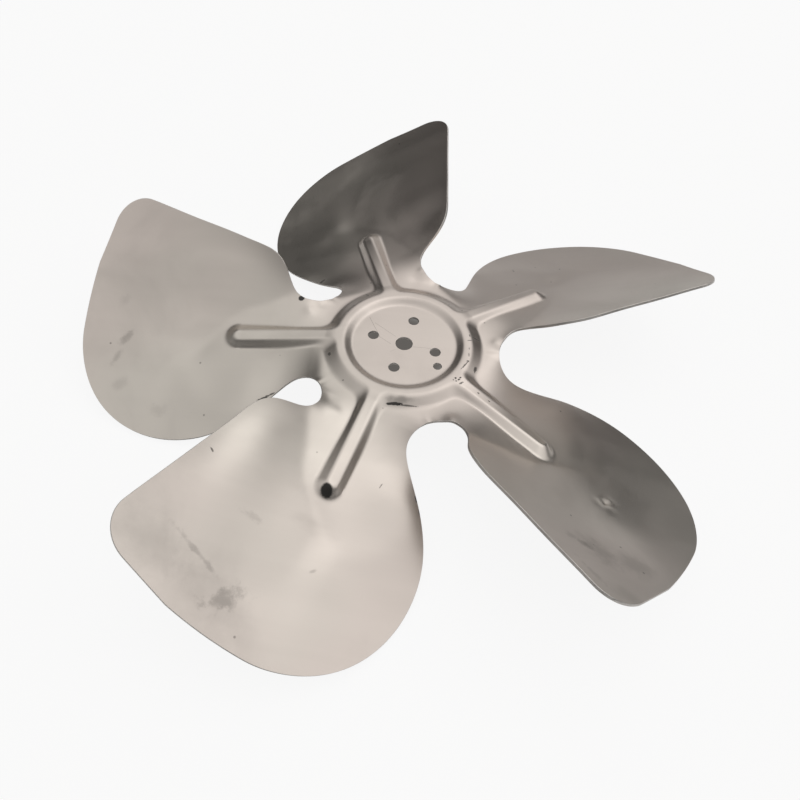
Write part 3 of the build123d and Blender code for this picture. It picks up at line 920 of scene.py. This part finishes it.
def edge_material(finish, groups):
    """Sheared edge: bright, with fine lines through the thickness."""
    material, g, shader, _ = new_material("sheared_edge")
    where = g.coordinate("Object")
    film = g.placed(groups["handling"], Position=where, Size=60.0).outputs
    torn = g.noise(g.vector("MULTIPLY", where, (1.0, 1.0, 0.06)), 2600.0, 2.0)
    metal = tuple(finish.cut_edge)
    base = g.mix(g.times(film["Film"], 0.45), metal, toned(metal, EDGE_TONE))
    base = g.mix(g.times(film["Speckle"], 0.6), base, tuple(finish.grime_and_shade))
    g.feed(shader.inputs["Base Color"], base)
    g.feed(shader.inputs["Roughness"], g.ramp(torn, 0.3, 0.7, 0.30, 0.55))
    shader.inputs["Metallic"].default_value = 1.0
    add_bump(g, shader, torn, 0.4)
    return material


# ---------------------- stage
# Patches of the room that the sheet mirrors: direction, brightness, cosine where each ends
# and where it is full.
ROOM_PATCHES = [
    ((0.62, 0.0, 0.78), 0.84, 0.72, 0.97),
    ((0.0, 0.05, 1.0), 0.38, 0.74, 0.98),
    ((0.0, 0.66, 0.75), 0.79, 0.84, 0.98),
    ((0.0, 1.0, 0.08), 0.17, 0.86, 0.98),
    ((-0.50, -0.12, 0.86), 0.36, 0.74, 0.97),
    ((-0.75, 0.0, 0.60), 0.16, 0.74, 0.97),
    ((0.0, -0.45, 0.88), 0.16, 0.86, 0.99),
    ((0.75, 0.55, 0.15), -0.11, 0.80, 0.98),
    ((-0.70, 0.70, 0.20), -0.16, 0.80, 0.98),
]
ROOM_BASE, ROOM_LEAST = 0.129, 0.02
# The floor's deep shade under the hub, in metres: its middle, where it ends and where it is
# full, its share there, and its colour.
SHADE_MIDDLE, SHADE_END, SHADE_FULL = (0.0, 0.018, 0.0), 0.038, 0.015
SHADE_SHARE, SHADE_COLOUR = 0.95, (0.09, 0.08, 0.07)
# Share of the floor that shines by itself, and how much of that the metal mirrors.
FLOOR_GLOW, MIRRORED_GLOW = 0.9, 0.12
# Metres: the floor, how far it lies below the part, and the lamp.
FLOOR_RADIUS, FLOOR_GAP = 4.0, 0.0002
LAMP_WIDTH, LAMP_PLACE = 1.1, (0.55, 0.45, 1.15)


def studio_world(settings):
    """Soft room light: bright on the right and behind, dimmest low at the back corners."""
    world = bpy.data.worlds.new("studio_room")
    world.use_nodes = True
    world.node_tree.nodes.clear()
    g = Graph(world.node_tree)
    way = g.coordinate("Generated")
    total = ROOM_BASE
    for direction, brightness, low, high in ROOM_PATCHES:
        dot = g.vector("DOT_PRODUCT", way, tuple(Vector(direction).normalized()))
        total = g.math("ADD", total, g.ramp(dot, low, high, 0.0, brightness))
    total = g.math("MAXIMUM", total, ROOM_LEAST)
    lit = g.mix(total, (0.0, 0.0, 0.0), tuple(settings.room))
    path = g.add("ShaderNodeLightPath").outputs
    seen = g.mix(path["Is Camera Ray"], lit, tuple(settings.backdrop))
    back = g.add("ShaderNodeBackground", Color=seen, Strength=1.0)
    g.add("ShaderNodeOutputWorld", Surface=back.outputs[0])
    bpy.context.scene.world = world


def floor_material(settings):
    """Matt pale floor that keeps a soft shadow."""
    material, g, shader, output = new_material("studio_floor")
    dust = g.noise(g.coordinate("Object"), 3.0, 3.0)
    tone = tuple(settings.floor)
    clean = g.mix(g.ramp(dust, 0.3, 0.7, 0.0, 0.02), tone, toned(tone, 0.9))
    place = g.add("ShaderNodeNewGeometry").outputs["Position"]
    away = g.vector("DISTANCE", g.vector("MULTIPLY", place, IN_PLAN), SHADE_MIDDLE)
    shade = g.ramp(away, SHADE_END, SHADE_FULL, 0.0, SHADE_SHARE)
    g.feed(shader.inputs["Base Color"], g.mix(shade, clean, SHADE_COLOUR))
    shader.inputs["Roughness"].default_value = 0.9
    shader.inputs["Specular IOR Level"].default_value = 0.0
    glow = g.add("ShaderNodeEmission", Color=g.mix(shade, (1.0, 1.0, 1.0), SHADE_COLOUR),
                 Strength=1.0)
    path = g.add("ShaderNodeLightPath").outputs
    # the bare metal mirrors the pale floor too, dimmer than the floor itself
    mirrored = g.math("MAXIMUM", path["Is Glossy Ray"], path["Is Transmission Ray"])
    seen = g.math("MAXIMUM", path["Is Camera Ray"], g.times(mirrored, MIRRORED_GLOW))
    blend = g.add("ShaderNodeMixShader", in0=g.times(seen, FLOOR_GLOW),
                  in1=shader.outputs[0], in2=glow.outputs[0])
    g.feed(output.inputs["Surface"], blend.outputs[0])
    return material


def floor_object(material, height):
    """A large round floor."""
    mesh = bmesh.new()
    bmesh.ops.create_circle(mesh, cap_ends=True, segments=96, radius=FLOOR_RADIUS)
    floor = new_object("studio_floor", mesh)
    floor.location.z = height
    floor.data.materials.append(material)
    return floor


def soft_box(settings):
    """One large soft lamp, overhead, to the right and behind."""
    lamp = bpy.data.lights.new("soft_box", "AREA")
    lamp.shape = "DISK"
    lamp.size = LAMP_WIDTH
    lamp.energy = settings.lamp_power
    lamp.color = tuple(settings.room)
    holder = new_object("soft_box", lamp)
    holder.location = LAMP_PLACE
    holder.rotation_euler = Vector(LAMP_PLACE).to_track_quat("Z", "Y").to_euler()


def studio_camera(settings):
    """The camera, which looks down at the part as a person at a table does."""
    data = bpy.data.cameras.new("studio_camera")
    data.sensor_width = 36.0
    data.lens = settings.camera_lens
    data.shift_x, data.shift_y = settings.camera_shift
    data.clip_start = 0.01
    camera = new_object("studio_camera", data)
    camera.location = settings.camera_place
    camera.rotation_euler = settings.camera_turn
    bpy.context.scene.camera = camera


# ---------------------- operators
class IMPELLER_OT_pressed_sheet(bpy.types.Operator):
    """Build the pressed sheet: hub disc, ring, ribs and five blades in one piece"""

    bl_idname = "impeller.pressed_sheet"
    bl_label = "Pressed sheet"

    def execute(self, context):
        scene = context.scene
        piece = sheet_object(scene.impeller_sizes)
        groups = {"grain": rolled_grain_group(), "handling": handling_group(),
                  "mark": mark_group(), "scratch": scratch_group()}
        piece.data.materials.append(sheet_material(scene.impeller_finish, groups))
        piece.data.materials.append(edge_material(scene.impeller_finish, groups))
        freeze(piece, 30)
        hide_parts("impeller")
        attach(piece, "root")
        return {"FINISHED"}


class IMPELLER_OT_stage(bpy.types.Operator):
    """Set the floor, the room, the lamp and the camera"""

    bl_idname = "impeller.stage"
    bl_label = "Stage"

    def execute(self, context):
        settings = context.scene.impeller_studio
        studio_world(settings)
        floor = floor_object(floor_material(settings), cad_low.z - FLOOR_GAP)
        soft_box(settings)
        studio_camera(settings)
        context.scene.view_settings.view_transform = "Standard"
        return {"FINISHED"}


class IMPELLER_PT_panel(bpy.types.Panel):
    """Sizes, finish and building steps of the impeller"""

    bl_idname = "IMPELLER_PT_panel"
    bl_label = "Pressed Fan Impeller"
    bl_space_type = "VIEW_3D"
    bl_region_type = "UI"
    bl_category = "Impeller"

    def draw(self, context):
        for group in (context.scene.impeller_sizes, context.scene.impeller_finish,
                      context.scene.impeller_studio):
            box = self.layout.box()
            for name in group.__annotations__:
                box.prop(group, name)
        self.layout.operator(IMPELLER_OT_pressed_sheet.bl_idname)
        self.layout.operator(IMPELLER_OT_stage.bl_idname)


CLASSES = (ImpellerSizes, ImpellerFinish, StudioSettings, IMPELLER_OT_pressed_sheet,
           IMPELLER_OT_stage, IMPELLER_PT_panel)


def register():
    """Adds the classes and the scene's settings."""
    for item in CLASSES:
        bpy.utils.register_class(item)
    bpy.types.Scene.impeller_sizes = bpy.props.PointerProperty(type=ImpellerSizes)
    bpy.types.Scene.impeller_finish = bpy.props.PointerProperty(type=ImpellerFinish)
    bpy.types.Scene.impeller_studio = bpy.props.PointerProperty(type=StudioSettings)


def unregister():
    """Takes them away again."""
    del bpy.types.Scene.impeller_studio
    del bpy.types.Scene.impeller_finish
    del bpy.types.Scene.impeller_sizes
    for item in reversed(CLASSES):
        bpy.utils.unregister_class(item)


def main():
    """Builds the scene."""
    register()
    bpy.ops.impeller.pressed_sheet()
    bpy.ops.impeller.stage()


if __name__ == "__main__":
    main()
